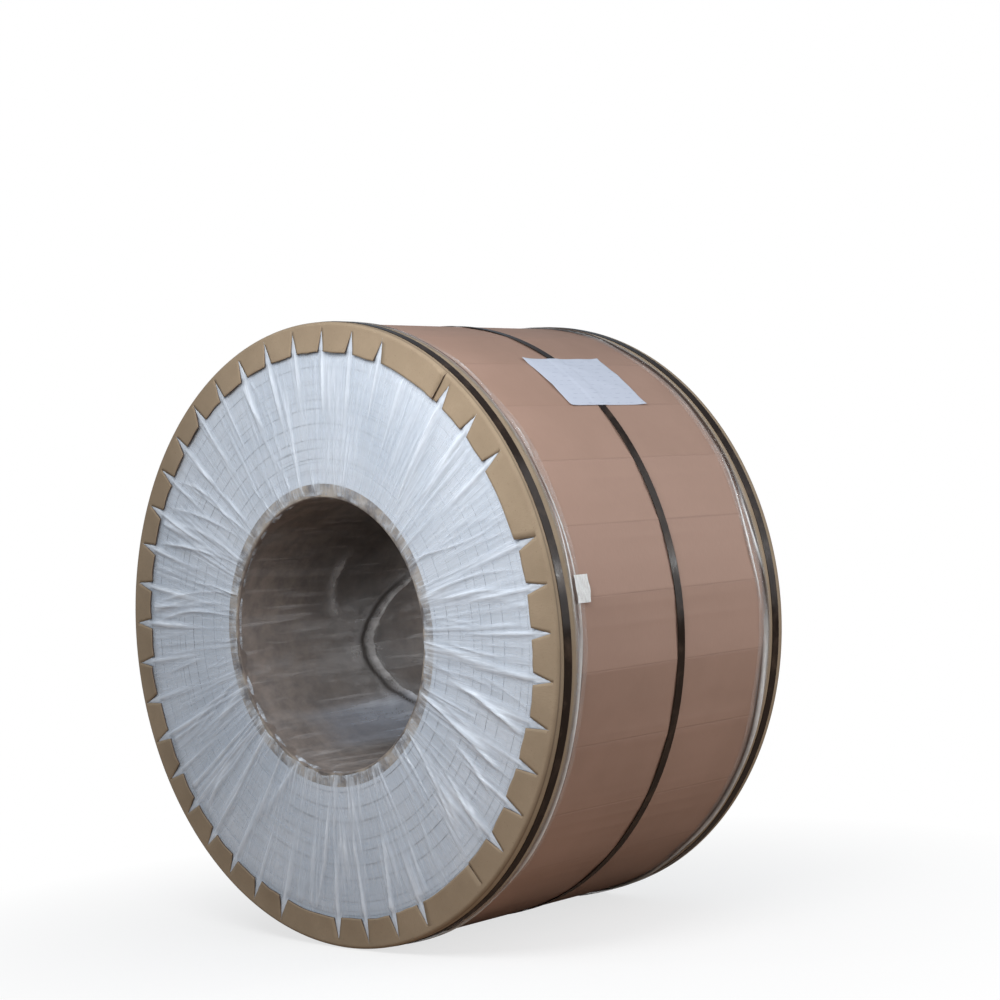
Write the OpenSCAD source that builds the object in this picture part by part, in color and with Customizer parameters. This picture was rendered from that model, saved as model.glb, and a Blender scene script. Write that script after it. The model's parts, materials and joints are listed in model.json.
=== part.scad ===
// Stainless steel coil, packed for shipping and lying on its side.
// The modules are drawn round the Z axis with the front end up, and lie() turns
// that end towards -Y. The origin is the centre of the bore, halfway along it.

/* [Coil] */
// Inside diameter of the fibre core
bore_d = 508; // [400:1:620]
// Wall of the fibre core
core_wall = 26; // [12:1:40]
// Outside diameter of the wound strip
coil_od = 1136; // [900:1:1500]
// Width of the strip, which is the length of the coil
coil_w = 625; // [450:1:900]
// Average width of a band of turns that lies level on the ends
turn_band = 9; // [6:0.5:20]
// How far the deepest band lies behind the proud ones
turn_dip = 1.2; // [0.4:0.1:4]
// Chamfer on the edges of the fibre core
core_chamfer = 2; // [0.5:0.5:4]

/* [Film] */
// Thickness of the pleated film, as one even skin
film_t = 0.5; // [0.3:0.1:1.5]
// How far the film turns over onto the circumference
film_return = 90; // [70:1:180]

/* [Outer wrap] */
// Thickness of the fibre board round the circumference
wrap_t = 5; // [2:0.5:10]
// Distance from the end of the coil to the edge of the board
wrap_setback = 8; // [6:1:20]
// Number of creases across the board
crease_count = 26; // [12:1:40]
// Width of a crease
crease_w = 1.6; // [0.6:0.1:4]
// Depth of a crease
crease_depth = 0.7; // [0.2:0.1:1.5]
// Gap between the two ends of the board
wrap_seam_gap = 2; // [1:0.5:10]
// Angle of that gap, from +X towards the top
wrap_seam_at = 238; // [190:1:260]

/* [Edge rings] */
// Thickness of the kraft board
ring_t = 3; // [1.5:0.5:5]
// Outer radius of the fold
fold_r = 7; // [5.5:0.5:12]
// Length of the leg that lies on the circumference
leg_l = 48; // [38:1:64]
// Length of the tabs that lie on the end
tab_l = 56; // [40:1:90]
// Distance from the fold's outside to the point of a notch
notch_in = 14; // [12:1:25]
// Width of a notch at its mouth
notch_mouth = 20; // [8:1:30]
// Width of a notch that has closed up
slit_mouth = 3; // [1:0.5:6]
// Angle from one notch to the next
notch_pitch = 8.317; // [8.1:0.001:8.34]
// Number of places for a notch, the uncut ones too
notch_count = 43; // [38:1:43]
// Angle from the ring's seam to its first notch
first_notch = 2.5; // [1.5:0.1:3]
// Width of the seam where the strip of board meets itself
ring_seam_gap = 1; // [0.5:0.1:2]
// Angle of the front ring's seam, clockwise from the top as seen from the front
front_seam_at = 38.1; // [0:0.1:360]
// Angle of the back ring's seam, clockwise from the top as seen from the back
back_seam_at = 151; // [0:0.1:360]

/* [Straps] */
// Width of the steel straps
strap_w = 19; // [12:1:32]
// Thickness of the steel straps
strap_t = 1; // [0.6:0.1:1.5]
// Distance from the edge of a ring's leg to the strap on it
strap_margin = 13.5; // [11:0.5:20]
// Distance from the front end of the pack to the middle of the middle strap
middle_strap_at = 330; // [270:1:360]
// Length of a strap's end that lies on top of itself
strap_lap = 110; // [70:1:200]
// Length of a seal, along the strap
seal_l = 45; // [30:1:60]
// Thickness of a seal's sheet
seal_t = 1; // [0.6:0.1:1.6]
// Width of a notch in a seal's edge
seal_notch = 6; // [3:0.5:8]
// Angle of the seals, from +X towards the top
seal_at = 158; // [140:1:170]

/* [Clear tape] */
// Thickness of the clear tape, with its wrinkles
tape_t = 0.6; // [0.3:0.1:0.8]
// Width of the tape that lies on the edge ring's leg
tape_on_ring = 6; // [3:0.5:10]
// Length of the slope from the leg down to the board
tape_slope = 10; // [4:1:16]
// Width of the tape that lies on the board
tape_on_wrap = 16; // [8:1:30]

/* [Label] */
// Length of the label, along the coil
label_l = 210; // [150:1:297]
// Height of the label, round the coil
label_h = 148; // [105:1:210]
// Thickness of the label
label_t = 0.4; // [0.2:0.1:0.8]
// How far the label's middle lies behind the middle strap
label_shift = 21; // [-30:1:40]
// Length of paper that rises from the board to the strap
label_rise = 6; // [3:1:12]
// Angle of the label's middle, from +X towards the top
label_at = 49.5; // [40:0.5:70]

/* [Hidden] */
$fn = 180;

// Cutters reach this far past what they cut.
over = 1;

// Radii of the layers, from the bore outwards
bore_r = bore_d / 2;
core_r = bore_r + core_wall;
coil_r = coil_od / 2;
wrap_in_r = coil_r + film_t;
wrap_r = wrap_in_r + wrap_t;
ring_r = wrap_r + ring_t;

// Places along the axis, where +Z is the front end
coil_end = coil_w / 2;
film_end = coil_end + film_t;
pack_end = film_end + ring_t;
strap_front_z = pack_end - leg_l + strap_margin + strap_w / 2;
strap_middle_z = pack_end - middle_strap_at;

// The notches run from the point radius to the free edge of the tabs. The places
// listed in uncut have no notch, and the one in closed is only a slit.
tab_r = ring_r - tab_l;
point_r = ring_r - notch_in;
uncut = [3, 13, 18, 42];
closed = [12];

// The coil's ends: bands of turns with uneven widths and depths
band_count = round((coil_r - core_r) / turn_band);
function band_weight(i) = 1 + 0.45 * sin(137.5 * i);
function weight_sum(n) = n == 0 ? 0 : weight_sum(n - 1) + band_weight(n - 1);
function band_edge(i) = core_r + (coil_r - core_r) * weight_sum(i) / weight_sum(band_count);
function band_dip(i) = i % 3 == 0 ? 0 : turn_dip * abs(sin(73 * i));
end_profile = [for (i = [0 : band_count - 1], k = [0, 1]) [band_edge(i + k), coil_end - band_dip(i)]];
mirrored_profile = [for (i = [len(end_profile) - 1 : -1 : 0]) [end_profile[i][0], -end_profile[i][1]]];

// The creases were scored by hand, so their even places sway a little.
crease_sway = 0.34;
sway_step = 17;
function crease_angle(i) = wrap_seam_at + 360 / crease_count * (i + crease_sway * sin(sway_step * i));

function is_in(i, list) = len(search(i, list)) > 0;
function arc_deg(length, radius) = length / radius * 180 / PI;

module lie() rotate([90, 0, 0]) children();

// A piece of pipe between two radii and two heights
module pipe(r1, r2, z1, z2) {
    rotate_extrude() translate([r1, z1]) square([r2 - r1, z2 - z1]);
}

module steel_coil() {
    color([0.74, 0.77, 0.79]) lie() rotate_extrude()
        polygon(concat(end_profile, mirrored_profile));
}

module core_tube() {
    c = core_chamfer;
    color([0.62, 0.57, 0.50]) lie() rotate_extrude()
        polygon([[bore_r, coil_end - c], [bore_r + c, coil_end], [core_r, coil_end],
                 [core_r, -coil_end], [bore_r + c, -coil_end], [bore_r, c - coil_end]]);
}

// The film lines the bore, covers both ends and turns over onto the circumference.
module film_wrap() {
    bare_z = coil_end - film_return;
    color([0.80, 0.84, 0.87, 0.5]) lie() rotate_extrude() difference() {
        translate([bore_r - film_t, -film_end]) square([wrap_in_r - bore_r + film_t, 2 * film_end]);
        translate([bore_r, -coil_end]) square([coil_r - bore_r, coil_w]);
        translate([coil_r - over, -bare_z]) square([film_t + 2 * over, 2 * bare_z]);
    }
}

// One crease, as a V groove along the board
module crease() {
    translate([0, 0, -coil_end]) linear_extrude(coil_w)
        polygon([[wrap_r - crease_depth, 0], [wrap_r + over, -crease_w], [wrap_r + over, crease_w]]);
}

module outer_wrap() {
    board_z = coil_end - wrap_setback;
    color([0.60, 0.47, 0.40]) lie() difference() {
        pipe(wrap_in_r, wrap_r, -board_z, board_z);
        for (i = [1 : crease_count - 1])
            rotate(crease_angle(i)) crease();
        rotate(wrap_seam_at) translate([wrap_in_r - over, -wrap_seam_gap / 2, -coil_end])
            cube([wrap_t + 2 * over, wrap_seam_gap, coil_w]);
    }
}

// Section of an edge ring: the leg, the rounded fold and the tab
module ring_section() {
    in_r = fold_r - ring_t;
    translate([wrap_r, pack_end - leg_l]) square([ring_t, leg_l - fold_r]);
    translate([tab_r, film_end]) square([tab_l - fold_r, ring_t]);
    translate([ring_r - fold_r, pack_end - fold_r]) intersection() {
        difference() { circle(fold_r); circle(in_r); }
        square(fold_r);
    }
}

// A notch in the tabs: its point lies at point_r, and it opens towards the axis.
module notch(mouth) {
    half = mouth / 2 * (point_r - tab_r + over) / (point_r - tab_r);
    translate([0, 0, film_end - over]) linear_extrude(ring_t + 2 * over)
        polygon([[point_r, 0], [tab_r - over, half], [tab_r - over, -half]]);
}

// A strip of kraft board, notched along one edge, bent round the end of the coil
module edge_ring(seam_at) {
    color([0.65, 0.56, 0.44]) rotate(90 - seam_at) difference() {
        rotate_extrude() ring_section();
        for (i = [0 : notch_count - 1])
            if (!is_in(i, uncut))
                rotate(-first_notch - i * notch_pitch) notch(is_in(i, closed) ? slit_mouth : notch_mouth);
        translate([tab_r - over, -ring_seam_gap / 2, pack_end - leg_l - over])
            cube([tab_l + 2 * over, ring_seam_gap, leg_l + 2 * over]);
    }
}

module edge_ring_front() lie() edge_ring(front_seam_at);

module edge_ring_back() lie() rotate([0, 180, 0]) edge_ring(back_seam_at);

// Clear tape that runs off the leg's edge down to the board
module tape() {
    z0 = pack_end - leg_l;
    line = [[ring_r, z0 + tape_on_ring], [ring_r, z0], [wrap_r, z0 - tape_slope],
            [wrap_r, z0 - tape_slope - tape_on_wrap]];
    color([0.72, 0.72, 0.70, 0.6]) rotate_extrude()
        polygon(concat(line, [for (i = [3 : -1 : 0]) line[i] + [tape_t, 0]]));
}

module tape_front() lie() tape();

module tape_back() lie() rotate([0, 180, 0]) tape();

// A steel strap, pulled tight on the radius r, with its free end on top of itself
module strap(r, z) {
    lap = arc_deg(strap_lap, r);
    color([0.16, 0.13, 0.12]) lie() translate([0, 0, z - strap_w / 2]) difference() {
        pipe(r, r + 2 * strap_t, 0, strap_w);
        rotate(seal_at + lap / 2) rotate_extrude(angle = 360 - lap)
            translate([r + strap_t, -over]) square([strap_t + over, strap_w + 2 * over]);
    }
}

module strap_front() strap(ring_r, strap_front_z);

module strap_middle() strap(wrap_r, strap_middle_z);

module strap_back() strap(ring_r, -strap_front_z);

// A seal, folded over the two layers of strap and notched twice on each side
module seal(r, z) {
    in_r = r + 2 * strap_t;
    top_r = in_r + seal_t;
    in_w = strap_w / 2;
    half_w = in_w + seal_t;
    angle = arc_deg(seal_l, r);
    cut = seal_notch / 2;
    color([0.24, 0.22, 0.21]) lie() translate([0, 0, z]) difference() {
        rotate(seal_at - angle / 2) rotate_extrude(angle = angle)
            polygon([[r, -half_w], [top_r, -half_w], [top_r, half_w], [r, half_w],
                     [r, in_w], [in_r, in_w], [in_r, -in_w], [r, -in_w]]);
        for (side = [0, 1], along = [-0.22, 0.22])
            rotate(seal_at + along * angle) mirror([0, 0, side]) translate([r - over, 0, half_w])
                rotate([0, 90, 0]) linear_extrude(top_r - r + 2 * over)
                    polygon([[cut, 0], [-over, -cut - over], [-over, cut + over]]);
    }
}

module seal_front() seal(ring_r, strap_front_z);

module seal_middle() seal(wrap_r, strap_middle_z);

module seal_back() seal(ring_r, -strap_front_z);

// The label lies on the board and rises over the middle strap.
module label() {
    mid = strap_middle_z - label_shift;
    top_r = wrap_r + strap_t;
    half = strap_w / 2;
    angle = arc_deg(label_h, wrap_r);
    line = [[wrap_r, mid - label_l / 2], [wrap_r, strap_middle_z - half - label_rise],
            [top_r, strap_middle_z - half], [top_r, strap_middle_z + half],
            [wrap_r, strap_middle_z + half + label_rise], [wrap_r, mid + label_l / 2]];
    color([0.86, 0.89, 0.93]) lie() rotate(label_at - angle / 2) rotate_extrude(angle = angle)
        polygon(concat(line, [for (i = [5 : -1 : 0]) line[i] + [label_t, 0]]));
}

steel_coil();
core_tube();
film_wrap();
outer_wrap();
edge_ring_front();
edge_ring_back();
tape_front();
tape_back();
strap_front();
strap_middle();
strap_back();
seal_front();
seal_middle();
seal_back();
label();
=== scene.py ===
# %% [markdown]
# # A packed coil of stainless steel strip
# The coil lies on its side. The exact model gives its size and place, and this lesson gives it its
# looks: pleated film on the ends and in the bore, kraft board tabs, creased fibre board, dark
# straps, clear tape and a paper label.
# First the exact model is loaded. Everything here is in metres, with the bore along Y, the front
# end towards -Y and the origin in the middle of the bore.

# %% Load the frame
import json
import math

import bpy
import numpy as np
from mathutils import Matrix, Vector


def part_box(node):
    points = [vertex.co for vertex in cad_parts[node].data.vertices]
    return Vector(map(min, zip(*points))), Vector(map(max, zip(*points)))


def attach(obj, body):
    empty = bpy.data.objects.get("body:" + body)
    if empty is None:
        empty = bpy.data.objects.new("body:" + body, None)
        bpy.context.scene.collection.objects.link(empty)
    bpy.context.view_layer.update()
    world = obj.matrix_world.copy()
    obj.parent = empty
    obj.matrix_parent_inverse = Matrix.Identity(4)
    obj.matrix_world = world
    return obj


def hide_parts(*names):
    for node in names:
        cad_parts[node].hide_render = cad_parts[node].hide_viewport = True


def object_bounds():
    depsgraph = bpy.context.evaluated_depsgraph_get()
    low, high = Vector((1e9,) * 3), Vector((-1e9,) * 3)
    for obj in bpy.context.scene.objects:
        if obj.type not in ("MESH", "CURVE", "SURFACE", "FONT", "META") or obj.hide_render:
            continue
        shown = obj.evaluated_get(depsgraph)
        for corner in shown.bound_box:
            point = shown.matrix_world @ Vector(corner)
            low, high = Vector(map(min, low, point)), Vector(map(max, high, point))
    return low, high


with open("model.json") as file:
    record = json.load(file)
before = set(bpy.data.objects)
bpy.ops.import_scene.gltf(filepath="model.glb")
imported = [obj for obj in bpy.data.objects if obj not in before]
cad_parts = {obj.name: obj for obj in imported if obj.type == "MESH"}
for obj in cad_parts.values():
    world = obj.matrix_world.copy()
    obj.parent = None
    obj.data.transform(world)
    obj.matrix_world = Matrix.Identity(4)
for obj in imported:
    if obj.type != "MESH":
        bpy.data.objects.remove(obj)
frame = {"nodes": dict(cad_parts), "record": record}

cad_low, cad_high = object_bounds()
print("CAD box", tuple(round(x, 4) for x in (*cad_low, *cad_high)))

# %% [markdown]
# The sizes come from the exact model where a box gives them. The others are the same round
# numbers as in its source: the length of the tabs, the fold, the notches and the creases.

# %% Sizes
MM = 0.001
mounts = {m["name"]: m for m in frame["record"]["mounts"]}
bore_r = mounts["bore"]["dims"]["r_mm"] * MM
pack_end = -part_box("edge_ring_front")[0].y
ring_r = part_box("edge_ring_front")[1].z
board_t = 3 * MM
wrap_r = ring_r - board_t
film_end = pack_end - board_t
leg_l, tab_l, fold_r = 48 * MM, 56 * MM, 7 * MM
notch_in, notch_mouth, slit_mouth = 14 * MM, 20 * MM, 3 * MM
notch_pitch, notch_count, first_notch = math.radians(8.317), 43, math.radians(2.5)
uncut, closed_up = {3, 13, 18, 42}, {12}
front_seam, back_seam = 38.1, 151  # degrees clockwise from the top, seen from the front
strap_w, strap_t = 19 * MM, 1 * MM
print(f"bore {2 * bore_r:.3f} m, pack {2 * ring_r:.3f} m across and {2 * pack_end:.3f} m long")

# %% [markdown]
# The camera stands where the photographer stood: to the right of the front end, almost level
# with the bore. It was found by matching the rims, the bore and the straps with circles. It is
# given by where it stands round the front end, how far off that line it looks, and its roll.

# %% Camera
cam_azimuth, cam_elevation = math.radians(48.36), math.radians(2.676)
cam_distance = 3.934
look_aside, look_up, cam_roll = math.radians(-4.954), math.radians(-3.301), math.radians(-4.028)
focal_px, frame_px = 2124.2, 1000


def turn(azimuth, elevation):
    """Unit vector from the origin towards a place at that azimuth and elevation."""
    return Vector((math.sin(azimuth) * math.cos(elevation),
                   -math.cos(azimuth) * math.cos(elevation), math.sin(elevation)))


camera = bpy.data.objects.new("camera", bpy.data.cameras.new("camera"))
bpy.context.scene.collection.objects.link(camera)
bpy.context.scene.camera = camera
camera.data.sensor_width = 36
camera.data.lens = 36 * focal_px / frame_px
back = turn(cam_azimuth + look_aside, cam_elevation + look_up)
side = Vector((0, 0, 1)).cross(back).normalized()
up = back.cross(side)
right = side * math.cos(cam_roll) + up * math.sin(cam_roll)
above = up * math.cos(cam_roll) - side * math.sin(cam_roll)
place = Vector((0, -pack_end, 0)) + cam_distance * turn(cam_azimuth, cam_elevation)
camera.matrix_world = Matrix.Translation(place) @ Matrix((right, above, back)).transposed().to_4x4()
print("camera at", tuple(round(x, 3) for x in place), "lens", round(camera.data.lens, 1), "mm")

# %% [markdown]
# A large lamp near the front end lights it from the upper right, so it darkens towards the lower
# left. A second one behind on the right lights the board. A small one far behind gives the shine
# on the straps and the tape, and three small ones give the glints on the film. The world is dim
# and blue. The floor looks white to the camera and throws back only a little warm light.

# %% Light and floor
def lamp(name, azimuth, elevation, distance, size, power):
    """A square area lamp that looks at the coil and isn't seen itself: degrees, metres, watts."""
    light = bpy.data.lights.new(name, "AREA")
    light.size, light.energy = size, power
    obj = bpy.data.objects.new(name, light)
    bpy.context.scene.collection.objects.link(obj)
    direction = turn(math.radians(azimuth), math.radians(elevation))
    obj.matrix_world = (Matrix.Translation(direction * distance)
                        @ direction.to_track_quat("Z", "Y").to_matrix().to_4x4())
    obj.visible_camera = False


lamp("key_light", 28, 34, 1.8, 0.8, 22)
lamp("side_light", 121, 20, 2.9, 2.4, 38)
lamp("window_light", 133, 11.5, 5.0, 0.3, 18)
lamp("left_glint", -52, 18, 4.0, 0.3, 5)
lamp("high_glint", -30, 52, 4.0, 0.3, 6)
lamp("top_glint", 20, 66, 4.0, 0.4, 6)
bpy.context.scene.view_settings.view_transform = "Standard"

world = bpy.data.worlds.new("studio")
bpy.context.scene.world = world
world.use_nodes = True
sky = world.node_tree
sky.nodes.clear()
world_out = sky.nodes.new("ShaderNodeOutputWorld")
shown, lighting, pick = (sky.nodes.new(n) for n in
                         ("ShaderNodeBackground", "ShaderNodeBackground", "ShaderNodeMixShader"))
ray = sky.nodes.new("ShaderNodeLightPath")
shown.inputs["Color"].default_value = (1, 1, 1, 1)
lighting.inputs["Color"].default_value = (0.80, 0.94, 1.09, 1)
lighting.inputs["Strength"].default_value = 0.262
sky.links.new(ray.outputs["Is Camera Ray"], pick.inputs[0])
sky.links.new(lighting.outputs[0], pick.inputs[1])
sky.links.new(shown.outputs[0], pick.inputs[2])
sky.links.new(pick.outputs[0], world_out.inputs["Surface"])

floor_z = cad_low.z
floor_size = 40
bpy.ops.mesh.primitive_plane_add(size=floor_size, location=(0, 0, floor_z))
floor = bpy.context.object
floor.name = "floor"

# %% [markdown]
# Every new piece is a grid of points: one direction runs along a profile, the other round the
# coil. One function turns such an array into a mesh with a UV map, in metres along both
# directions, so that patterns keep their real scale.

# %% Grid to mesh
def srgb(red, green, blue):
    """A colour given as 0 to 255, made linear: ((c + 0.055) / 1.055) to the power 2.4."""
    c = np.array([red, green, blue]) / 255
    return (*np.where(c <= 0.04045, c / 12.92, ((c + 0.055) / 1.055) ** 2.4), 1.0)


def round_points(radius, angle, y):
    """Points at a radius and an angle from +X towards the top, at the place y along the bore."""
    radius, angle, y = np.broadcast_arrays(radius, angle, y)
    return np.stack([radius * np.cos(angle), y, radius * np.sin(angle)], axis=-1)


def grid_mesh(name, points, closed=False, outward=None, fields=None):
    """A mesh of quads between neighbours of points[i, j], joined round j if closed.

    outward is a function from points to directions, and the faces are turned to agree with it.
    fields are values at the points, by name, which the finishes can read.
    """
    rows, cols = points.shape[:2]
    index = np.arange(rows * cols).reshape(rows, cols)
    ring = points
    if closed:
        index, ring = (np.concatenate([a, a[:, :1]], axis=1) for a in (index, points))
    corners = [(slice(None, -1), slice(None, -1)), (slice(1, None), slice(None, -1)),
               (slice(1, None), slice(1, None)), (slice(None, -1), slice(1, None))]
    faces = np.stack([index[c] for c in corners], axis=-1).reshape(-1, 4)
    down = np.linalg.norm(np.diff(ring, axis=0), axis=-1).mean(axis=1)
    along = np.linalg.norm(np.diff(ring, axis=1), axis=-1).mean(axis=0)
    steps = [np.concatenate([[0], np.cumsum(gaps)]) for gaps in (down, along)]
    place_uv = np.stack(np.meshgrid(*steps, indexing="ij"), axis=-1)
    corner_uv = np.stack([place_uv[c] for c in corners], axis=2).reshape(-1, 4, 2)
    flat = points.reshape(-1, 3)
    if outward is not None:
        p = flat[faces]
        normal = np.cross(p[:, 2] - p[:, 0], p[:, 3] - p[:, 1])
        if (normal * outward(p.mean(axis=1))).sum() < 0:
            faces, corner_uv = faces[:, ::-1], corner_uv[:, ::-1]
    mesh = bpy.data.meshes.new(name)
    mesh.vertices.add(len(flat))
    mesh.vertices.foreach_set("co", flat.astype(np.float32).ravel())
    mesh.loops.add(faces.size)
    mesh.loops.foreach_set("vertex_index", faces.astype(np.int32).ravel())
    mesh.polygons.add(len(faces))
    mesh.polygons.foreach_set("loop_start", np.arange(len(faces), dtype=np.int32) * 4)
    mesh.update(calc_edges=True)
    layer = mesh.uv_layers.new(name="UVMap")
    layer.data.foreach_set("uv", corner_uv.astype(np.float32).ravel())
    for field, values in (fields or {}).items():
        attribute = mesh.attributes.new(field, "FLOAT", "POINT")
        attribute.data.foreach_set("value", values.astype(np.float32).ravel())
    mesh.validate()
    mesh.polygons.foreach_set("use_smooth", np.ones(len(mesh.polygons), dtype=bool))
    obj = bpy.data.objects.new(name, mesh)
    bpy.context.scene.collection.objects.link(obj)
    return obj


def from_axis(centres):
    """Directions away from the bore's axis."""
    return centres * np.array([1, 0, 1])


def to_axis(centres):
    """Directions towards the bore's axis."""
    return -from_axis(centres)


def smooth(value):
    """A share clipped to 0 to 1 and eased at both ends: 3 v^2 - 2 v^3."""
    share = np.clip(value, 0, 1)
    return share * share * (3 - 2 * share)


def wave(angle, low, high, seed):
    """A smooth random curve that closes round the circle: a sum of cosines from low to high."""
    rng = np.random.default_rng(seed)
    k = np.arange(low, high + 1)
    phase = rng.uniform(0, 2 * np.pi, len(k))
    size = rng.normal(1, 0.4, len(k))
    total = (size[:, None] * np.cos(k[:, None] * angle.ravel()[None] + phase[:, None])).sum(0)
    return (total / np.sqrt(len(k) / 2)).reshape(angle.shape)


def add_modifier(obj, kind, **settings):
    """Gives the object a modifier with these settings."""
    modifier = obj.modifiers.new(kind.title(), kind)
    for key, value in settings.items():
        setattr(modifier, key, value)


# %% [markdown]
# Materials are small node graphs. This helper class keeps the graph building readable: each
# method adds one node and returns its output.

# %% Material helper
class Finish:
    """A material with a Principled shader, and one method for each kind of node."""

    def __init__(self, name, colour, roughness, metallic=0.0):
        self.material = bpy.data.materials.new(name)
        self.material.use_nodes = True
        self.tree = self.material.node_tree
        self.shader = self.tree.nodes["Principled BSDF"]
        self.shader.inputs["Base Color"].default_value = colour
        self.shader.inputs["Roughness"].default_value = roughness
        self.shader.inputs["Metallic"].default_value = metallic

    def add(self, kind, inputs=None, **settings):
        node = self.tree.nodes.new(kind)
        for key, value in settings.items():
            setattr(node, key, value)
        for key, value in (inputs or {}).items():
            if isinstance(value, bpy.types.NodeSocket):
                self.tree.links.new(value, node.inputs[key])
            else:
                node.inputs[key].default_value = value
        return node

    def place(self, kind="Object", scale=(1, 1, 1)):
        """Object or UV coordinates in metres, times a scale."""
        source = self.add("ShaderNodeTexCoord").outputs[kind]
        return self.add("ShaderNodeMapping", {"Vector": source, "Scale": scale}).outputs[0]

    def field(self, name):
        return self.add("ShaderNodeAttribute", attribute_name=name).outputs["Fac"]

    def noise(self, vector, scale, detail=3.0, roughness=0.5):
        return self.add("ShaderNodeTexNoise", {"Vector": vector, "Scale": scale, "Detail": detail,
                                               "Roughness": roughness}).outputs["Fac"]

    def spread(self, value, low, high, to_low=0.0, to_high=1.0):
        """A value between low and high, spread over another range and held at its ends."""
        return self.add("ShaderNodeMapRange", {"Value": value, "From Min": low, "From Max": high,
                                               "To Min": to_low, "To Max": to_high}).outputs[0]

    def math(self, operation, a, b=0.0):
        return self.add("ShaderNodeMath", {0: a, 1: b}, operation=operation).outputs[0]

    def times(self, a, b):
        return self.math("MULTIPLY", a, b)

    def total(self, first, *others):
        """The sum of several values."""
        for other in others:
            first = self.math("ADD", first, other)
        return first

    def blend(self, factor, a, b):
        """Colour a where factor is 0 and colour b where it is 1."""
        node = self.add("ShaderNodeMix", data_type="RGBA")
        for key, value in ((0, factor), (6, a), (7, b)):
            if isinstance(value, bpy.types.NodeSocket):
                self.tree.links.new(value, node.inputs[key])
            else:
                node.inputs[key].default_value = value
        return node.outputs[2]

    def bump(self, height, distance, strength=1.0):
        return self.add("ShaderNodeBump", {"Height": height, "Distance": distance,
                                           "Strength": strength}).outputs[0]

    def give(self, **sockets):
        """Links outputs to the shader's sockets, with spaces written as underscores."""
        for key, output in sockets.items():
            self.tree.links.new(output, self.shader.inputs[key.replace("_", " ")])

    def paint(self, *objects):
        for obj in objects:
            obj.data.materials.clear()
            obj.data.materials.append(self.material)


def on_root(obj, slot, *nodes):
    """The piece rides on the one body and stands for these nodes. Its slot is not used."""
    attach(obj, "root")
    if nodes:
        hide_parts(*nodes)
    print(f"{obj.name}: {len(obj.data.vertices)} points, {len(obj.data.polygons)} faces")


def face_area(obj):
    """The area of all faces, in square metres: what the sheet measures when it lies flat."""
    areas = np.empty(len(obj.data.polygons))
    obj.data.polygons.foreach_get("area", areas)
    return float(areas.sum())

# %% [markdown]
# The floor is plain and pale. Near the coil it takes the shadow as any floor does, and further
# away it fades into the white backdrop, so that no horizon shows.

# %% Floor finish
paving = Finish("floor_paint", (0.8, 0.8, 0.8, 1), 0.9)
away = paving.add("ShaderNodeVectorMath", {0: paving.place()}, operation="LENGTH")
fade = paving.spread(away.outputs["Value"], 0.4, 1.3, 0.72, 1.0)
glow = paving.add("ShaderNodeEmission", {"Color": (1, 1, 1, 1), "Strength": 1.0})
camera_ray = paving.add("ShaderNodeLightPath").outputs["Is Camera Ray"]
warm_grey, near_white = (0.38, 0.28, 0.21, 1), (0.9, 0.9, 0.9, 1)
paving.give(Base_Color=paving.blend(camera_ray, warm_grey, near_white))
mixed = paving.add("ShaderNodeMixShader", {0: paving.times(fade, camera_ray)})
paving.tree.links.new(paving.shader.outputs[0], mixed.inputs[1])
paving.tree.links.new(glow.outputs[0], mixed.inputs[2])
paving.tree.links.new(mixed.outputs[0], paving.tree.nodes["Material Output"].inputs[0])
paving.paint(floor)

# %% [markdown]
# The end of a wound strip shows the edges of its turns as fine rings. The exact model has the
# larger steps, and the finish adds the fine rings: noise over the distance from the axis, plus a
# few dark lines where turns stand apart. The walls of the larger steps are in shade, and the
# finish paints them darker as painted shade: it finds them by their direction. The core is
# grey-brown fibre, and painted shade darkens its inner side towards the middle of the bore.

# %% Steel and core finishes
steel = Finish("strip_edges", srgb(204, 212, 222), 0.5, metallic=0.1)
from_middle = steel.add("ShaderNodeVectorMath", {0: steel.place(scale=(1, 0, 1))},
                        operation="LENGTH")
as_line = steel.add("ShaderNodeCombineXYZ", {0: from_middle.outputs["Value"]}).outputs[0]
fine_turns = steel.noise(as_line, 320, 2)
wide_turns = steel.noise(as_line, 85, 4, 0.7)
broken = steel.noise(steel.place(), 7, 2)
patches = steel.noise(steel.place(), 5, 3)
dark_line = steel.spread(steel.total(wide_turns, steel.times(broken, 0.30)), 0.46, 0.52)
tone = steel.blend(steel.spread(patches, 0.35, 0.65), srgb(192, 202, 214), srgb(210, 217, 226))
shaded_turn = steel.blend(0.06, tone, (0, 0, 0, 1))
tone = steel.blend(steel.spread(fine_turns, 0.3, 0.7), shaded_turn, tone)
# Painted shade: the walls of the steps, found by their direction, are painted a darker grey.
painted_wall_shade = steel.blend(steel.spread(broken, 0.45, 0.62), srgb(160, 167, 176), srgb(122, 128, 136))
facing = steel.add("ShaderNodeSeparateXYZ", {0: steel.place("Normal")}).outputs[1]
tone = steel.blend(steel.spread(steel.math("ABSOLUTE", facing), 0.5, 0.95), painted_wall_shade, tone)
steel.give(Base_Color=steel.blend(dark_line, srgb(148, 154, 162), tone),
           Normal=steel.bump(wide_turns, 0.0004, 0.2))
steel.paint(frame["nodes"]["steel_coil"])

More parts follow.
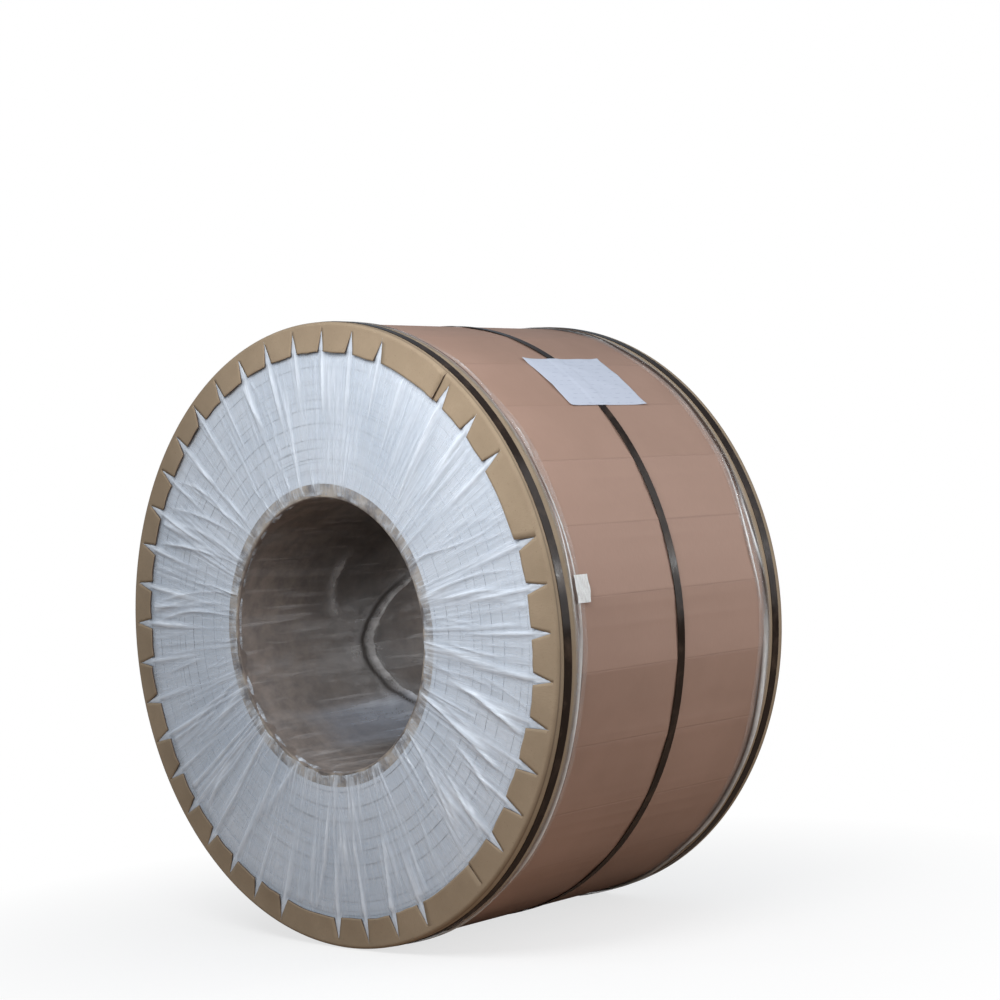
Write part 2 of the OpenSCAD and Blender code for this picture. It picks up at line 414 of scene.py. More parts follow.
fibre = Finish("core_fibre", srgb(150, 136, 118), 0.92)
grey_patches = fibre.noise(fibre.place(), 30, 4, 0.65)
fibres = fibre.noise(fibre.place(), 240, 3)
end_tone = fibre.blend(fibre.spread(grey_patches, 0.4, 0.62), srgb(158, 149, 138),
                       srgb(96, 91, 90))
inner_tone_and_shade = fibre.blend(fibre.spread(grey_patches, 0.36, 0.64), srgb(138, 126, 118),
                      srgb(110, 101, 96))
# Painted shade: the inside of the bore darkens towards its middle, nearly to black.
depth = fibre.add("ShaderNodeSeparateXYZ", {0: fibre.place()}).outputs[1]
from_centre = fibre.math("ABSOLUTE", depth)
painted_bore_shade = (0.02, 0.016, 0.014, 1)
inner_tone_and_shade = fibre.blend(fibre.spread(from_centre, 0.04, 0.28, 0.66, 0.0), inner_tone_and_shade, painted_bore_shade)
inside_bore = fibre.spread(from_centre, film_end - 1.5 * MM, film_end - 0.6 * MM)
fibre.give(Base_Color=fibre.blend(inside_bore, inner_tone_and_shade, end_tone),
           Normal=fibre.bump(fibres, 0.0008, 0.5))
fibre.paint(frame["nodes"]["core_tube"])

# %% [markdown]
# The film is pulled through the bore and over both ends, so it gathers into radial pleats: each
# is a narrow ridge that starts near the bore and dies out towards the rim. The height of the film
# is the sum of many such ridges, each with its own angle, drift, width and reach.

# %% Film with pleats
TAU = 2 * np.pi


def from_line(angle, line):
    """The angle from a line, between minus half a turn and half a turn."""
    return (angle - line + np.pi) % TAU - np.pi


def hill(off, width):
    """1 on a line and falling off to both sides: exp(-(off / width)^2)."""
    return np.exp(-(off / width) ** 2)


def pleats(angle, along, count, seed, width, height, drift, lean_to=0.0):
    """Sum of ridges over angle and along (0 at the bore's edge, 1 at the rim).

    Each ridge is height times exp(-distance / width) across, where the distance from its line grows
    with its drift, times a hump along its own stretch.
    """
    rng = np.random.default_rng(seed)
    total = np.zeros(np.broadcast(angle, along).shape)
    for _ in range(count):
        centre = rng.uniform(0, TAU)
        lean = lean_to * math.sin(centre - 0.9) + rng.normal(0, drift)
        start = rng.uniform(-0.4, 0.45)
        reach = rng.uniform(0.35, 1.1)
        wide = width * rng.uniform(0.5, 1.6)
        tall = height * rng.uniform(0.25, 1.0) ** 1.5
        bend = rng.normal(0, drift * 0.6)
        line = centre + lean * along + bend * np.sin(np.pi * along)
        off = np.abs(from_line(angle, line))
        hump = np.clip(1 - ((along - start - reach / 2) / (reach / 2)) ** 2, 0, 1)
        total += tall * np.exp(-off / wide) * hump
    return total


rim_r = ring_r - 10 * MM
lip_r = 9 * MM
face_cols, flat_rows, lip_rows = 1200, 72, 8
face_angle = np.linspace(0, TAU, face_cols, endpoint=False)[None, :]
lip_turn = np.linspace(0.16, np.pi / 2, lip_rows)[:, None]
flat_r = np.linspace(rim_r, bore_r + lip_r, flat_rows)[:, None]
face_radius = np.concatenate([flat_r, bore_r + lip_r * (1 - np.sin(lip_turn))])
lip_depth = np.concatenate([0 * flat_r, lip_r * (1 - np.cos(lip_turn))])
face_along = (face_radius - bore_r) / (rim_r - bore_r)
tab_edge = (ring_r - tab_l - bore_r) / (rim_r - bore_r)


def notch_places(seam_clockwise):
    """Angle and mouth of each notch of an edge ring."""
    numbers = [i for i in range(notch_count) if i not in uncut]
    first = math.radians(90 - seam_clockwise) - first_notch
    return [(first - i * notch_pitch, slit_mouth if i in closed_up else notch_mouth)
            for i in numbers]


def notch_puffs(seam_clockwise):
    """The film bulges out through each notch, and a pleat runs from there towards the bore."""
    ring_in = ring_r - face_radius
    open_share = np.clip((ring_in - notch_in) / (tab_l - notch_in), 0, 1)
    under = smooth((face_along - tab_edge) / 0.03)
    puff_h, tail_h, tail_w = 3.2 * MM, 4.2 * MM, 5 * MM
    puff = np.zeros((face_radius.size, face_cols))
    for place_at, mouth in notch_places(seam_clockwise):
        share_open = mouth / notch_mouth
        off = np.abs(from_line(face_angle, place_at)) * face_radius
        fill = smooth(1.5 - off / (open_share * mouth / 2 + 1.2 * MM)) * under * share_open
        tail = np.exp(-off / tail_w) * smooth((face_along - 0.3) / 0.45) * (1 - under)
        puff += puff_h * fill + tail_h * tail * share_open
    return puff


def film_face(name, end, seed, every, seam_clockwise):
    """The film on one end: a ring, out by the height of its pleats, rolled over the bore's edge."""
    fold = (pleats(face_angle, face_along, 130, seed, width=0.008, height=5.5 * MM, drift=0.05,
                   lean_to=0.16)
            + pleats(face_angle, face_along, 70, seed + 1, width=0.024, height=4.5 * MM,
                     drift=0.08, lean_to=0.16)
            + 0.7 * MM * np.abs(wave(face_angle, 30, 150, seed + 2)))
    tucked = smooth((tab_edge - face_along) / 0.05)
    puff = notch_puffs(seam_clockwise)
    under_tab, at_bore = 0.08 + 0.92 * tucked, 0.08 + 0.92 * smooth(face_along * 11)
    rise = fold * under_tab * at_bore + puff
    y = -(film_end + rise) + lip_depth
    slack = 1.2 * MM * wave(face_angle, 8, 40, seed + 3) * np.clip(1 - face_along * 12, 0, 1)
    lip_fold = np.minimum(fold, 2 * MM) * np.clip(1 - face_along * 30, 0, 1) * 0.3
    radius = face_radius + slack - lip_fold
    points = round_points(np.maximum(radius, bore_r - 12 * MM), face_angle, end * y)
    lip = np.clip(1 - face_along / 0.09, 0, 1) * np.ones((1, face_cols // every))
    obj = grid_mesh(name, points[:, ::every], closed=True,
                    outward=lambda c: np.array([0, -end, 0]),
                    fields={"pleat": ((rise + 0.6 * puff) / (5 * MM))[:, ::every], "lip": lip})
    return obj, radius[-1], y[-1]


film_front, front_edge_r, front_edge_y = film_face("film_front", 1, 11, 1, front_seam)
film_back, back_edge_r, back_edge_y = film_face("film_back", -1, 57, 2, back_seam)

# %% [markdown]
# In the bore the film hangs loosely. It is a tube whose radius goes in and out in long folds
# along the bore. On the left wall it bunches up into two folds across the bore: each is a curved
# line over angle and depth, and the film stands in from the core along it. Beside the large fold
# a band gets painted shade. The ends of the tube use the same points as the two faces.

# %% Film in the bore
bore_rows, every_bore = 120, 4
bore_share = np.linspace(0, 1, bore_rows)[:, None]
bore_angle = face_angle[:, ::every_bore]


def cross_fold(angle, share, middle, depth, curve_low, curve_high, half, height, before, after):
    """A fold across the bore: its line lies deeper with the square of the angle from its middle.

    Gives its height, how near its line is and how much the band beside it is shaded.
    """
    off = from_line(angle, math.radians(middle))
    line = depth + np.where(off < 0, curve_low, curve_high) * off ** 2
    ahead = line - share * 2 * film_end
    window = smooth((math.radians(half) - np.abs(off)) / math.radians(12))
    side = np.exp(-np.abs(ahead) / np.where(ahead > 0, before, after))
    near, shaded = hill(ahead, 12 * MM), hill(ahead - 24 * MM, 9 * MM)
    return height * window * side, window * near, window * shaded


def bore_folds(angle, share):
    """How far the film stands in from the core: slow waves, sharp folds and two cross folds."""
    slow = 2.5 * MM * (1 + wave(angle, 3, 14, 5)) * (0.6 + 0.4 * np.sin(3 * share + 2 * angle))
    sharp = (pleats(angle, share, 60, 91, width=0.035, height=7 * MM, drift=0.25)
             + pleats(angle, 1 - share, 40, 93, width=0.02, height=5 * MM, drift=0.2))
    large, large_line, shaded = cross_fold(
        angle, share, middle=193, depth=0.326, curve_low=0.36, curve_high=0.24, half=42,
        height=22 * MM, before=50 * MM, after=22 * MM)
    small, small_line, _ = cross_fold(
        angle, share, middle=160, depth=0.233, curve_low=0.25, curve_high=0.2, half=20,
        height=9 * MM, before=30 * MM, after=20 * MM)
    return np.abs(slow) + sharp + large + small, 0.62 * large_line + 0.4 * small_line, shaded


def between_faces(front, back):
    """Values at the front face's edge carried evenly to those at the back face's edge."""
    return (front * (1 - bore_share) + back * bore_share)[:, ::every_bore]


ease = np.clip(np.minimum(bore_share, 1 - bore_share) / 0.04, 0, 1)
edge = between_faces(front_edge_r, back_edge_r)
stand_in, fold_line, shaded = bore_folds(bore_angle, bore_share)
tube_r = edge - (edge - bore_r + 0.5 * MM) * ease - stand_in * ease
tube_y = between_faces(front_edge_y, -back_edge_y)
low_right = np.exp(-((bore_angle - math.radians(231)) / 0.24) ** 4
                   - ((bore_share - 0.40) / 0.24) ** 4)
drawn_in = np.clip((bore_r - tube_r) / (40 * MM), 0, 0.4)
film_bore = grid_mesh("film_bore", round_points(tube_r, bore_angle, tube_y), closed=True,
                      outward=to_axis,
                      fields={"pleat": drawn_in + fold_line, "haze": low_right, "dark": shaded})

# %% [markdown]
# Clear film shows what lies behind it, dulls it a little and shines on its folds. The alpha is
# low on the flat film and rises on the ridges, where several layers lie together.

# %% Film finish
film = Finish("clear_film", srgb(232, 240, 250), 0.2)
streaks = film.noise(film.place("UV", (12, 260, 1)), 1.0, 4, 0.65)
broad = film.noise(film.place("UV", (5, 36, 1)), 1.0, 3, 0.6)
haze = film.noise(film.place(), 9, 3)
bunched = film.spread(film.noise(film.place(), 55, 3, 0.6), 0.46, 0.64, 0.02, 0.45)
cover = film.total(film.spread(film.field("pleat"), 0.12, 1.2, 0.06, 0.6),
                   film.spread(streaks, 0.54, 0.75, 0, 0.34),
                   film.spread(broad, 0.42, 0.68, 0, 0.26),
                   film.spread(haze, 0.42, 0.7, 0, 0.12),
                   film.times(film.field("lip"), bunched))
wrinkles = film.noise(film.place("UV", (9, 80, 1)), 1.0, 4, 0.55)
film.give(Alpha=cover, Normal=film.bump(wrinkles, 0.005, 0.7))
film.shader.inputs["IOR"].default_value = film_ior = 1.5
film.paint(film_front, film_back)

# In the bore the light is dim and the film clearer, so it has a finish of its own.
# The dark colour is painted shade on the band beside the large fold.
bore_colour, blue_haze, shade_colour = srgb(232, 230, 230), srgb(222, 232, 250), srgb(40, 36, 34)
dim_film = Finish("bore_film", bore_colour, 0.25)
in_haze, in_shade = dim_film.field("haze"), dim_film.field("dark")
bore_streaks = dim_film.noise(dim_film.place("UV", (5, 60, 1)), 1.0, 4, 0.6)
long_folds = dim_film.noise(dim_film.place("UV", (1.5, 16, 1)), 1.0, 3, 0.55)
mottle = dim_film.spread(dim_film.noise(dim_film.place(), 22, 4, 0.65), 0.36, 0.6, 0.4, 1.0)
on_folds = dim_film.spread(dim_film.field("pleat"), 0.05, 1.0, 0.03, 0.62)
bore_cover = dim_film.total(dim_film.times(mottle, on_folds),
                            dim_film.spread(bore_streaks, 0.55, 0.74, 0.02, 0.24),
                            dim_film.spread(long_folds, 0.5, 0.62, 0, 0.09),
                            dim_film.times(in_haze, 0.17), dim_film.times(in_shade, 0.26))
bore_wrinkles = dim_film.noise(dim_film.place("UV", (12, 40, 1)), 1.0, 4, 0.6)
dim_film.give(Alpha=bore_cover,
              Base_Color=dim_film.blend(in_shade, dim_film.blend(in_haze, bore_colour, blue_haze),
                                        shade_colour),
              Normal=dim_film.bump(bore_wrinkles, 0.005, 0.6))
dim_film.shader.inputs["IOR"].default_value = film_ior
dim_film.paint(film_bore)
for obj in (film_front, film_back, film_bore):
    on_root(obj, "film", "film_wrap")
for obj in (film_front, film_back):
    face_area(obj)
face_area(film_bore)
print("film", [round(face_area(obj), 3) for obj in (film_front, film_back, film_bore)], "m2")

# %% [markdown]
# The edge ring is a strip of kraft board. One edge is notched into tabs, and the strip is bent
# round the end so that the tabs fold over it. Each tab is a grid of its own: across it runs a
# share from 0 to 1 between its two notches, along it the distance from the leg's edge over the
# fold to the tab's edge. Below the notches' points the neighbours share their edge points, so
# merging them makes one sheet, which then gets its thickness.

# %% Notched edge rings
across = np.linspace(0, 1, 13)[None, :]
leg_s = np.linspace(0, leg_l - fold_r, 5)
arc_s = np.linspace(0, np.pi / 2, 8)[1:]
tab_s = np.concatenate([np.linspace(fold_r, notch_in, 4)[1:], np.linspace(notch_in, tab_l, 12)[1:]])
ring_y = np.concatenate([leg_l - leg_s, fold_r - fold_r * np.sin(arc_s),
                         np.zeros(len(tab_s))])[:, None]
ring_in = np.concatenate([np.zeros(len(leg_s)), fold_r - fold_r * np.cos(arc_s), tab_s])[:, None]
beyond = np.clip((ring_in - notch_in) / (tab_l - notch_in), 0, 1)
free = np.clip((ring_in - fold_r) / (tab_l - fold_r), 0, 1) ** 1.6
seam_lap = 0.012  # radians by which the strip's end lies over its start


def edge_ring(name, seam_clockwise, end, seed):
    """All tabs of one ring, as grids between neighbouring notches, merged and thickened."""
    rng = np.random.default_rng(seed)
    start = math.radians(90 - seam_clockwise)
    places = notch_places(seam_clockwise)
    cuts = [start] + [angle for angle, _ in places] + [start - TAU]
    mouths = [1 * MM] + [mouth for _, mouth in places] + [1 * MM]
    grids = []
    for i in range(len(cuts) - 1):
        last = i == len(cuts) - 2
        radius = ring_r - ring_in
        left = cuts[i] - mouths[i] / 2 * beyond / radius
        right = cuts[i + 1] + mouths[i + 1] / 2 * beyond / radius - (seam_lap if last else 0)
        angle = left + (right - left) * across
        lift = rng.uniform(1.0, 7.0) * MM * free
        twist = rng.uniform(-2.5, 2.5) * MM * free * (across - 0.5)
        curl = -1.2 * MM * free * (2 * across - 1) ** 2
        trim = (rng.normal(0, 1.4) * MM
                + 0.6 * MM * np.sin(across * rng.uniform(4, 9) + rng.uniform(0, 6)))
        over = smooth((across - 0.8) / 0.1) * np.clip(ring_in / fold_r, 0, 1)
        lap = 3.4 * MM * over if last else 0
        out = np.maximum(lift + twist + curl, 0) + lap
        points = round_points(radius - trim * beyond, angle, -end * (pack_end - ring_y + out))
        grids.append(grid_mesh(f"{name}_{i}", points,
                               outward=lambda c: from_axis(c) + np.array([0, -9 * end, 0])))
    bpy.ops.object.select_all(action="DESELECT")
    for grid in grids:
        grid.select_set(True)
    bpy.context.view_layer.objects.active = grids[0]
    bpy.ops.object.join()
    ring = bpy.context.object
    ring.name = ring.data.name = name
    bpy.ops.object.mode_set(mode="EDIT")
    bpy.ops.mesh.select_all(action="SELECT")
    bpy.ops.mesh.remove_doubles(threshold=0.05 * MM)
    bpy.ops.object.mode_set(mode="OBJECT")
    add_modifier(ring, "SOLIDIFY", thickness=board_t * 0.9, offset=-1, material_offset_rim=1)
    return ring


kraft_front = edge_ring("kraft_ring_front", front_seam, 1, 3)
kraft_back = edge_ring("kraft_ring_back", back_seam, -1, 4)

# %% [markdown]
# Kraft board is brown paper over a grey-brown core: matte, with long fibres and small specks. The
# cut edges show the darker core. Just before the fold a thin line of painted shade darkens the
# paper.

# %% Kraft finish
kraft = Finish("kraft_board", srgb(176, 153, 124), 0.82)
cloud = kraft.noise(kraft.place(), 11, 4, 0.6)
fibre_noise = kraft.noise(kraft.place("UV", (90, 900, 1)), 1.0, 3)
specks = kraft.noise(kraft.place(), 420, 2)
brown = kraft.blend(kraft.spread(cloud, 0.34, 0.66), srgb(143, 125, 103), srgb(161, 142, 119))
brown = kraft.blend(kraft.spread(fibre_noise, 0.35, 0.7), brown, srgb(149, 131, 108))
brown = kraft.blend(kraft.spread(specks, 0.68, 0.74), brown, srgb(120, 98, 76))
along_strip = kraft.add("ShaderNodeSeparateXYZ", {0: kraft.place("UV")}).outputs[0]
# A thin line of painted shade where the leg turns into the fold.
to_crease = kraft.math("ABSOLUTE", kraft.math("SUBTRACT", along_strip, leg_l - fold_r + 1.5 * MM))
painted_fold_shade = kraft.spread(to_crease, 0.6 * MM, 2.2 * MM, 0.55, 0.0)
kraft.give(Base_Color=kraft.blend(painted_fold_shade, brown, srgb(96, 80, 64)),
           Normal=kraft.bump(fibre_noise, 0.0005, 0.6))
cut_edge = Finish("kraft_cut_edge", srgb(92, 78, 70), 0.95)
kraft.paint(kraft_front, kraft_back)
for ring in (kraft_front, kraft_back):
    ring.data.materials.append(cut_edge.material)
on_root(kraft_front, "kraft", "edge_ring_front")
on_root(kraft_back, "kraft", "edge_ring_back")

# %% [markdown]
# The fibre board was creased across so that it bends round the coil. Between two creases it is a
# little flatter than the circle, so each panel catches the light in its own way. The radius is
# a blend of the circle and the straight chord between the creases. On top of that the finish
# paints light on the panels: those facing about 14 degrees above the right side are lighter.

# %% Fibre board
crease_count, wrap_seam = 26, math.radians(238)
crease_step = np.arange(0, crease_count + 1)
crease_shift = 0.34 * np.sin(np.radians(17 * crease_step))
crease_at = wrap_seam + TAU / crease_count * (crease_step + crease_shift)
crease_at[0], crease_at[-1] = wrap_seam, wrap_seam + TAU
flatness, most_flat = 0.5, 1.6 * MM
board_end = pack_end - 11.5 * MM
board_cols, board_rows = 1000, 22


def board_radius(angle):
    """Radius of the board: the circle, less a share of the way to the chord and less the creases.

    The chord's radius is R cos(half) / cos(from the middle), and the share is held to a most.
    """
    panel = np.clip(np.searchsorted(crease_at, angle, side="right") - 1, 0, crease_count - 1)
    low, high = crease_at[panel], crease_at[panel + 1]
    half, off = (high - low) / 2, angle - (low + high) / 2
    chord = wrap_r * np.cos(half) / np.cos(off)
    share = np.minimum(flatness, most_flat / (wrap_r * (1 - np.cos(half))))
    to_crease = np.minimum(angle - low, high - angle) * wrap_r
    groove = 0.4 * MM * hill(to_crease, 1.1 * MM)
    return wrap_r + share * (chord - wrap_r) - groove, panel, to_crease


seam_half = 1 * MM / wrap_r
board_angle = np.linspace(wrap_seam + seam_half, wrap_seam + TAU - seam_half, board_cols)
crease_points = (crease_at[1:-1, None] + np.array([-2, -1, 0, 1, 2]) * 0.9 * MM / wrap_r).ravel()
board_angle = np.unique(np.concatenate([board_angle, crease_points]))[None, :]
board_y = np.linspace(-board_end, board_end, board_rows)[:, None]
base_r, panel, to_crease = board_radius(board_angle)
hump = np.sin(np.pi * (board_y + board_end) / (2 * board_end))
sag = 0.5 * MM * (1 + wave(board_angle, 20, 70, 8)) * hump
every_row = np.ones((board_rows, 1))
# Painted light on the board: panels facing about 14 degrees above the right side are lighter, the
# others less so, and each panel also gets a little random tone.
light_middle, light_width = math.radians(14), 0.45
panel_middle = from_line((crease_at[1:] + crease_at[:-1]) / 2, light_middle)
light_side = np.clip(1.1 - np.abs(panel_middle) / light_width, 0, 1)
panel_light_and_tone = 0.85 * light_side + np.random.default_rng(21).uniform(0, 0.15, crease_count)
board_r = base_r - np.clip(np.abs(sag), 0, MM) * 0.5
board = grid_mesh("fibre_board", round_points(board_r, board_angle, board_y), outward=from_axis,
                  fields={"panel": panel_light_and_tone[panel] * every_row, "crease": to_crease * every_row})
add_modifier(board, "SOLIDIFY", thickness=4 * MM, offset=-1)

tan_board = Finish("fibre_board", srgb(176, 144, 126), 0.78)
grain = tan_board.noise(tan_board.place("UV", (500, 60, 1)), 1.0, 3)
stains = tan_board.noise(tan_board.place(), 6, 4, 0.6)
tan = tan_board.blend(tan_board.spread(stains, 0.35, 0.65), srgb(154, 124, 108),
                      srgb(162, 131, 115))
# Painted light: the lit panels blend towards a lighter tan.
painted_panel_light = tan_board.spread(tan_board.field("panel"), 0, 1, 0, 0.8)
tan = tan_board.blend(painted_panel_light, tan, srgb(174, 143, 128))
tan = tan_board.blend(tan_board.spread(grain, 0.35, 0.75, 0, 0.22), tan, srgb(152, 124, 110))
# Darker within a few millimetres of each crease, more so where the stains are.
darker_near_creases = tan_board.times(tan_board.spread(tan_board.field("crease"), 0.5 * MM, 3 * MM, 0.28, 0.0),
                       tan_board.spread(stains, 0.4, 0.6, 0.3, 1.0))
tan_board.give(Base_Color=tan_board.blend(darker_near_creases, tan, srgb(126, 100, 88)),
               Normal=tan_board.bump(grain, 0.0004, 0.3))
tan_board.paint(board)
on_root(board, "board", "outer_wrap")

# %% [markdown]
# Each strap is a band drawn here with more steps round the coil than the exact model has, so that
# its shine runs evenly. Its profile is a thin rectangle with softened edges, and a second layer
# lies over it where its ends lap. The front strap sways a little along the bore. The seals keep
# the exact solids. Blackened strapping is dark and fairly smooth, with fine lines along it.

# %% Strap finish
seal_at, strap_lap = math.radians(158), 110 * MM
half_w, strap_sway = strap_w / 2, 4.5 * MM
rim = np.array([0.0, 0.0, 0.1, 0.35, 0.8]) * MM
drop = np.array([strap_t, 0.25 * MM, 0.05 * MM, 0, 0])
profile_y = np.concatenate([-half_w + rim, (half_w - rim)[::-1], [-half_w]])[:, None]
profile_r = np.concatenate([strap_t - drop, (strap_t - drop)[::-1], [0]])[:, None]


def strap_band(node, inner_r):
    """One strap: the profile carried round the coil, with its second layer near the seal."""
    middle = (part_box(node)[0].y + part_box(node)[1].y) / 2
    angle = np.linspace(0, TAU, 720, endpoint=False)[None, :]
    from_seal = np.abs(from_line(angle, seal_at)) * inner_r
    layer = strap_t * smooth((strap_lap / 2 - from_seal) / (4 * MM)) * (profile_r > 0)
    is_front = middle < -0.1
    sway = strap_sway * is_front * np.cos(2 * (angle - math.radians(32)))
    sway = sway * smooth((from_seal / inner_r - 0.2) / 0.7)
    points = round_points(inner_r + profile_r + layer, angle, middle - sway + profile_y)
    band = grid_mesh(node + "_band", points, closed=True, outward=from_axis)
    on_root(band, "strap", node)
    return band


strapping = Finish("black_strapping", srgb(46, 38, 33), 0.2)
scuff = strapping.noise(strapping.place(), 30, 4, 0.6)
lines = strapping.noise(strapping.place(scale=(0, 1, 0)), 1400, 2)
strapping.give(Base_Color=strapping.blend(strapping.spread(scuff, 0.5, 0.8), srgb(40, 31, 26),
                                          srgb(72, 58, 48)),
               Roughness=strapping.spread(scuff, 0.3, 0.7, 0.14, 0.26),
               Normal=strapping.bump(lines, 0.0002, 0.4))
strapping.shader.inputs["Specular IOR Level"].default_value = 0.12
strapping.paint(strap_band("strap_front", ring_r), strap_band("strap_middle", wrap_r),
                strap_band("strap_back", ring_r))

sealing = Finish("black_seal", srgb(78, 72, 68), 0.38, metallic=0.8)
sealing.give(Normal=sealing.bump(sealing.noise(sealing.place(), 160, 3), 0.0003, 0.5))
sealing.paint(*(frame["nodes"][n] for n in ("seal_front", "seal_middle", "seal_back")))

# %% [markdown]
# Clear tape covers the step from the edge ring's leg down to the board. It doesn't lie flat: on
# the upper part it bunches into thin bright ropes, and from the middle of the right side down its
# edge rolls up into one thick rope. Where that starts, a short flap of tape stands free. Under the
# pack the floor presses the tape flat. The ropes near 14 degrees up on the right side carry a
# painted glare, as more opaque white tape, and above about 24 degrees their shine is made fainter.
# A painted shadow runs along the leg's edge where the tape is thin, and beside the thick rope.

# %% Clear tape
tape_rows = 26
tape_share = np.linspace(0, 1, tape_rows)[:, None]
tape_start, tape_width = leg_l - 6 * MM, 32 * MM


def clear_band(name, end, seed, columns, thick_from, thick_to):
    """The tape: y runs from the leg to the board, and the radius steps down between them."""
    angle = np.linspace(0, TAU, columns, endpoint=False)[None, :]
    stray = 2 * MM * wave(angle, 3, 18, seed) * (0.4 + tape_share)
    y = tape_start + tape_width * tape_share + stray
    base = ring_r - board_t * smooth((y - leg_l) / (10 * MM)) + 0.5 * MM
    turned = (angle - thick_from) % TAU
    thick = smooth(turned / 0.3) * smooth(((thick_to - thick_from) % TAU - turned) / 0.3)
    thin = 1 - 0.85 * thick
    line = 0.38 + 0.04 * wave(angle, 2, 7, seed + 1)
    high_line = 0.62 + 0.10 * wave(angle, 2, 9, seed + 1)
    low_line = 0.26 + 0.07 * wave(angle, 2, 12, seed + 2)
    dark_line = 0.34 + 0.05 * wave(angle, 2, 9, seed + 7)
    fat = hill(tape_share - line, 0.17) * thick * (4.3 + 0.5 * wave(angle, 3, 16, seed + 5))
    high = hill(tape_share - high_line, 0.07) * thin
    low = hill(tape_share - low_line, 0.06) * thin
    fine = np.abs(wave(angle, 60, 220, seed + 3)) * (0.3 + high) * thin
    ropes = 2.4 * high * (0.6 + 0.4 * wave(angle, 6, 30, seed + 4)) + 1.6 * low
    bulge = (ropes + 0.35 * fine + fat) * MM
    # Painted shade: a shadow line along the leg's edge where the tape is thin, and a dark band
    # beside the thick rope.
    dark = (hill(tape_share - line - 0.22, 0.10) * thick * 0.8
            + hill(tape_share - dark_line, 0.12) * (1 - thick) * 1.3)
    steepest = -0.9
    down = np.minimum(np.sin(angle), steepest)
    floor_r = np.where(down < steepest, floor_z / down, 1.0)
    radius = np.minimum(base + np.clip(bulge, 0, 5 * MM), floor_r)
    # Painted glare: the ropes near 14 degrees up on the right side get more opaque white tape where
    # the lamp's shine falls, and above about 24 degrees the shine of the ropes is made fainter.
    painted_glare = hill(from_line(angle, math.radians(14)), 0.14)
    upper = smooth((np.sin(angle) - 0.40) / 0.1)
    shine = (bulge / (3 * MM) * (1 - 0.7 * upper)
             + 1.3 * painted_glare * smooth((high + low - 0.35) / 0.5))
    return grid_mesh(name, round_points(radius, angle, -end * (pack_end - y)), closed=True,
                     outward=from_axis, fields={"opacity_and_glare": shine, "dark": dark * (1 - painted_glare)})


tape_front = clear_band("clear_tape_front", 1, 31, 1300, math.radians(-120), math.radians(8))
tape_back = clear_band("clear_tape_back", -1, 41, 900, math.radians(-150), math.radians(4))

flap_y = np.linspace(58 * MM, 92 * MM, 16)[:, None]
flap_a = np.radians(np.linspace(4.0, 8.8, 26))[None, :]
flap_waves = np.sin(900 * flap_y + 60 * flap_a) + np.sin(110 * flap_a + 300 * flap_y)
flap_r = wrap_r + 3.6 * MM + 0.7 * MM * flap_waves
flap = grid_mesh("tape_flap", round_points(flap_r, flap_a, -pack_end + flap_y),
                 outward=from_axis, fields={"opacity_and_glare": 1.9 + 0 * flap_r, "dark": 0 * flap_r})

# The dark colour is the painted shade along the leg's edge and beside the thick rope.
tape_colour, tape_shade_colour = srgb(236, 238, 238), srgb(78, 64, 58)
tape = Finish("clear_tape", tape_colour, 0.1)
tape_noise = tape.noise(tape.place("UV", (240, 40, 1)), 1.0, 5, 0.65)
tape_shade = tape.field("dark")
tape_cover = tape.total(tape.spread(tape.field("opacity_and_glare"), 0.0, 1.6, 0.08, 0.92),
                        tape.spread(tape_noise, 0.5, 0.72, 0, 0.22),
                        tape.times(tape_shade, 0.4))
tape.give(Base_Color=tape.blend(tape.spread(tape_shade, 0.1, 0.8), tape_colour, tape_shade_colour),
          Alpha=tape_cover, Normal=tape.bump(tape_noise, 0.003, 0.8))
tape.paint(tape_front, tape_back, flap)
on_root(tape_front, "tape", "tape_front")
on_root(tape_back, "tape", "tape_back")
on_root(flap, "tape", "tape_front")
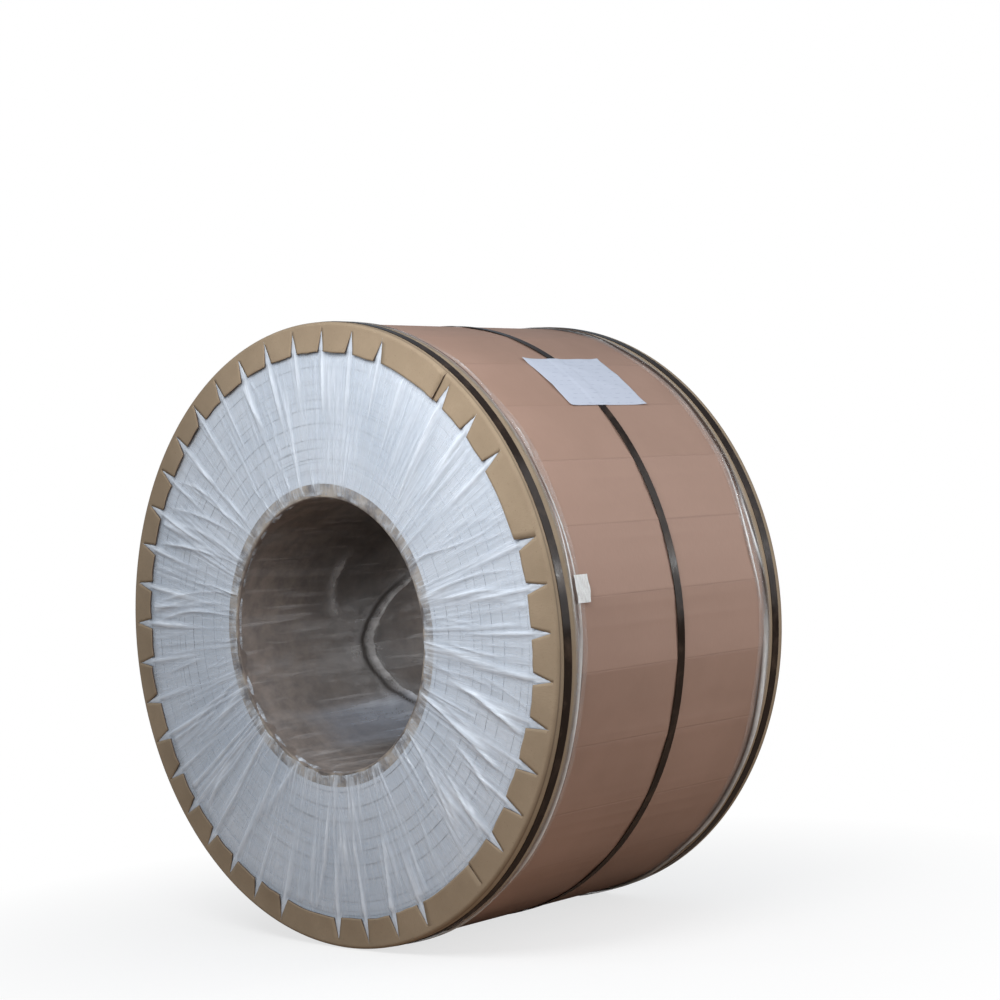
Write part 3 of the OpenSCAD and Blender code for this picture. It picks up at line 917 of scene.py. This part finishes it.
print("tape", [round(face_area(obj), 4) for obj in (tape_front, tape_back, flap)], "m2")
for band, leg in ((tape_front, "edge_ring_front"), (tape_back, "edge_ring_back")):
    face_area(band)
face_area(flap)

# %% [markdown]
# The label is a plain sheet of paper over the middle strap. It follows the board, rises over the
# strap and has small waves. It carries only faint grey bars, as a printed form has lines.

# %% Label
label_l, label_h, label_at = 210 * MM, 148 * MM, math.radians(49.5)
strap_mid = (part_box("strap_middle")[0].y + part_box("strap_middle")[1].y) / 2
label_mid = strap_mid + 21 * MM
label_y = np.linspace(-label_l / 2, label_l / 2, 110)[:, None]
label_a = np.linspace(-0.5, 0.5, 80)[None, :]
off_strap = np.abs(label_mid + label_y - strap_mid) - strap_w / 2
lift = strap_t * smooth(1 - off_strap / (14 * MM)) + 0.6 * MM
ripple = 0.9 * MM * (np.sin(38 * label_y + 5 * label_a) * np.cos(11 * label_a + 20 * label_y)) ** 2
corner = 2.5 * MM * np.abs(2 * label_a) ** 8 * np.abs(label_y / (label_l / 2)) ** 6
label_points = round_points(wrap_r + lift + ripple + corner,
                            label_at + label_a * label_h / wrap_r, label_mid + label_y)
label_sheet = grid_mesh("paper_label", label_points, outward=from_axis)
add_modifier(label_sheet, "SOLIDIFY", thickness=0.3 * MM, offset=-1)

paper_colour, bar_colour = srgb(192, 198, 212), srgb(132, 140, 166)
paper = Finish("paper_form", paper_colour, 0.7)
form = paper.add("ShaderNodeSeparateXYZ", {0: paper.place("UV")})
rows = paper.math("PINGPONG", form.outputs[1], 6.5 * MM)
bars = paper.spread(rows, 5.5 * MM, 6 * MM)
broken_up = paper.spread(paper.noise(paper.place("UV", (60, 154, 1)), 1.0, 2), 0.5, 0.56)
inside = paper.spread(form.outputs[0], 0.02, 0.021)
mark = paper.times(paper.times(bars, broken_up), inside)
paper.give(Base_Color=paper.blend(paper.spread(mark, 0, 1, 0, 0.4), paper_colour, bar_colour),
           Normal=paper.bump(paper.noise(paper.place(), 60, 3), 0.0006, 0.5))
paper.paint(label_sheet)
on_root(label_sheet, "paper", "label")
